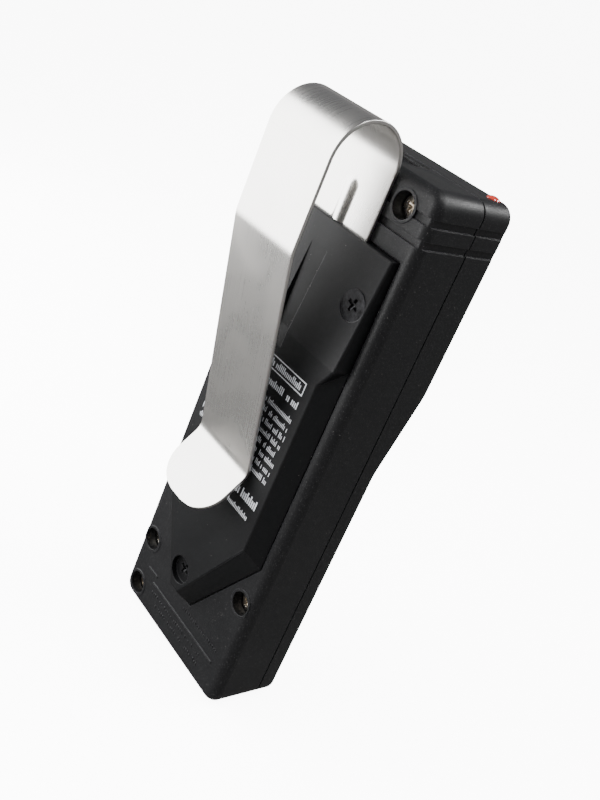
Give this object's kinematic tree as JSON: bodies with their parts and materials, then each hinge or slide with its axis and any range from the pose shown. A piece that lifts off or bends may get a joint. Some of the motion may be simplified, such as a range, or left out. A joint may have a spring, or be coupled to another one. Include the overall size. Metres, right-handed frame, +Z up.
{
  "type": "gate remote",
  "caption": "Hand-held four-button gate and garage remote: a slim two-part case with a sprung steel visor clip screwed to its back.",
  "frame": {"origin": "middle of the flat bottom end face, on which the case can stand", "axes": "+Z up the case from its bottom end to the clip bend, +Y out of the back where the clip is, -Y out of the button side, +X to the right of someone facing the buttons"},
  "size_m": [0.0432, 0.0401, 0.1343],
  "materials": {
    "case_plastic": "black moulded ABS with a fine spark-eroded texture",
    "plate_plastic": "black moulded ABS, finer satin texture",
    "print_ink": "white pad-printed ink",
    "clip_steel": "stainless spring strip, brushed along its length",
    "screw_brass": "yellow-passivated steel, taken as brass",
    "screw_black": "black oxide",
    "button_plastic": "dark grey moulded ABS",
    "plunger_plastic": "pale nylon",
    "lens_red": "clear red plastic",
    "board_green": "glass-epoxy board with green solder mask",
    "chip_black": "black moulded epoxy",
    "pin_metal": "bright tin or nickel plate",
    "can_aluminium": "drawn aluminium",
    "ceramic_tan": "fired ceramic",
    "copper_strip": "tinned copper strip",
    "battery_steel": "printed steel jacket",
    "foam_grey": "soft closed-cell foam"
  },
  "bodies": {
    "root": {"rear_shell": "case_plastic", "front_shell": "case_plastic", "clip_plate": "plate_plastic", "label_print": "print_ink", "visor_clip_base": "clip_steel", "case_screws": "screw_brass", "plate_screws": "screw_black", "board_screws": "pin_metal", "circuit_board": "board_green", "switch_housings": "chip_black", "switch_domes": "pin_metal", "microcontroller": "chip_black", "microcontroller_pins": "pin_metal", "saw_resonator": "pin_metal", "rf_transistor": "chip_black", "capacitor_can": "can_aluminium", "chip_resistors": "chip_black", "chip_capacitors": "ceramic_tan", "loop_antenna": "copper_strip", "battery_jacket": "battery_steel", "battery_ends": "chip_black", "battery_cells": "can_aluminium", "battery_terminals": "pin_metal", "terminal_board": "board_green", "battery_contacts": "pin_metal", "contact_straps": "copper_strip", "foam_pad": "foam_grey", "indicator_lens": "lens_red", "indicator_led": "lens_red", "indicator_leads": "pin_metal"},
    "clip_arm": {"visor_clip_arm": "clip_steel"},
    "button_1": {"button_1": "button_plastic"},
    "plunger_1": {"switch_plunger_1": "plunger_plastic"},
    "button_2": {"button_2": "button_plastic"},
    "plunger_2": {"switch_plunger_2": "plunger_plastic"},
    "button_3": {"button_3": "button_plastic"},
    "plunger_3": {"switch_plunger_3": "plunger_plastic"},
    "button_4": {"button_4": "button_plastic"},
    "plunger_4": {"switch_plunger_4": "plunger_plastic"}
  },
  "joints": [
    {"name": "clip_flex", "type": "hinge", "parent": "root", "child": "clip_arm", "pos_m": [0, 0.0181, 0.1343], "axis": [1, 0, 0], "range_deg": [0, 12], "stiffness_Nm_per_rad": 1.6},
    {"name": "button_1_press", "type": "slide", "parent": "root", "child": "button_1", "axis": [0, 1, 0], "range_m": [0, 0.00045], "stiffness_N_per_m": 3000},
    {"name": "plunger_1_press", "type": "slide", "parent": "root", "child": "plunger_1", "axis": [0, 1, 0], "range_m": [0, 0.00045]},
    {"name": "button_2_press", "type": "slide", "parent": "root", "child": "button_2", "axis": [0, 1, 0], "range_m": [0, 0.00045], "stiffness_N_per_m": 3000},
    {"name": "plunger_2_press", "type": "slide", "parent": "root", "child": "plunger_2", "axis": [0, 1, 0], "range_m": [0, 0.00045]},
    {"name": "button_3_press", "type": "slide", "parent": "root", "child": "button_3", "axis": [0, 1, 0], "range_m": [0, 0.00045], "stiffness_N_per_m": 3000},
    {"name": "plunger_3_press", "type": "slide", "parent": "root", "child": "plunger_3", "axis": [0, 1, 0], "range_m": [0, 0.00045]},
    {"name": "button_4_press", "type": "slide", "parent": "root", "child": "button_4", "axis": [0, 1, 0], "range_m": [0, 0.00045], "stiffness_N_per_m": 3000},
    {"name": "plunger_4_press", "type": "slide", "parent": "root", "child": "plunger_4", "axis": [0, 1, 0], "range_m": [0, 0.00045]}
  ],
  "couplings": [
    {"joint": "plunger_1_press", "follows": "button_1_press", "ratio": 1},
    {"joint": "plunger_2_press", "follows": "button_2_press", "ratio": 1},
    {"joint": "plunger_3_press", "follows": "button_3_press", "ratio": 1},
    {"joint": "plunger_4_press", "follows": "button_4_press", "ratio": 1}
  ]
}
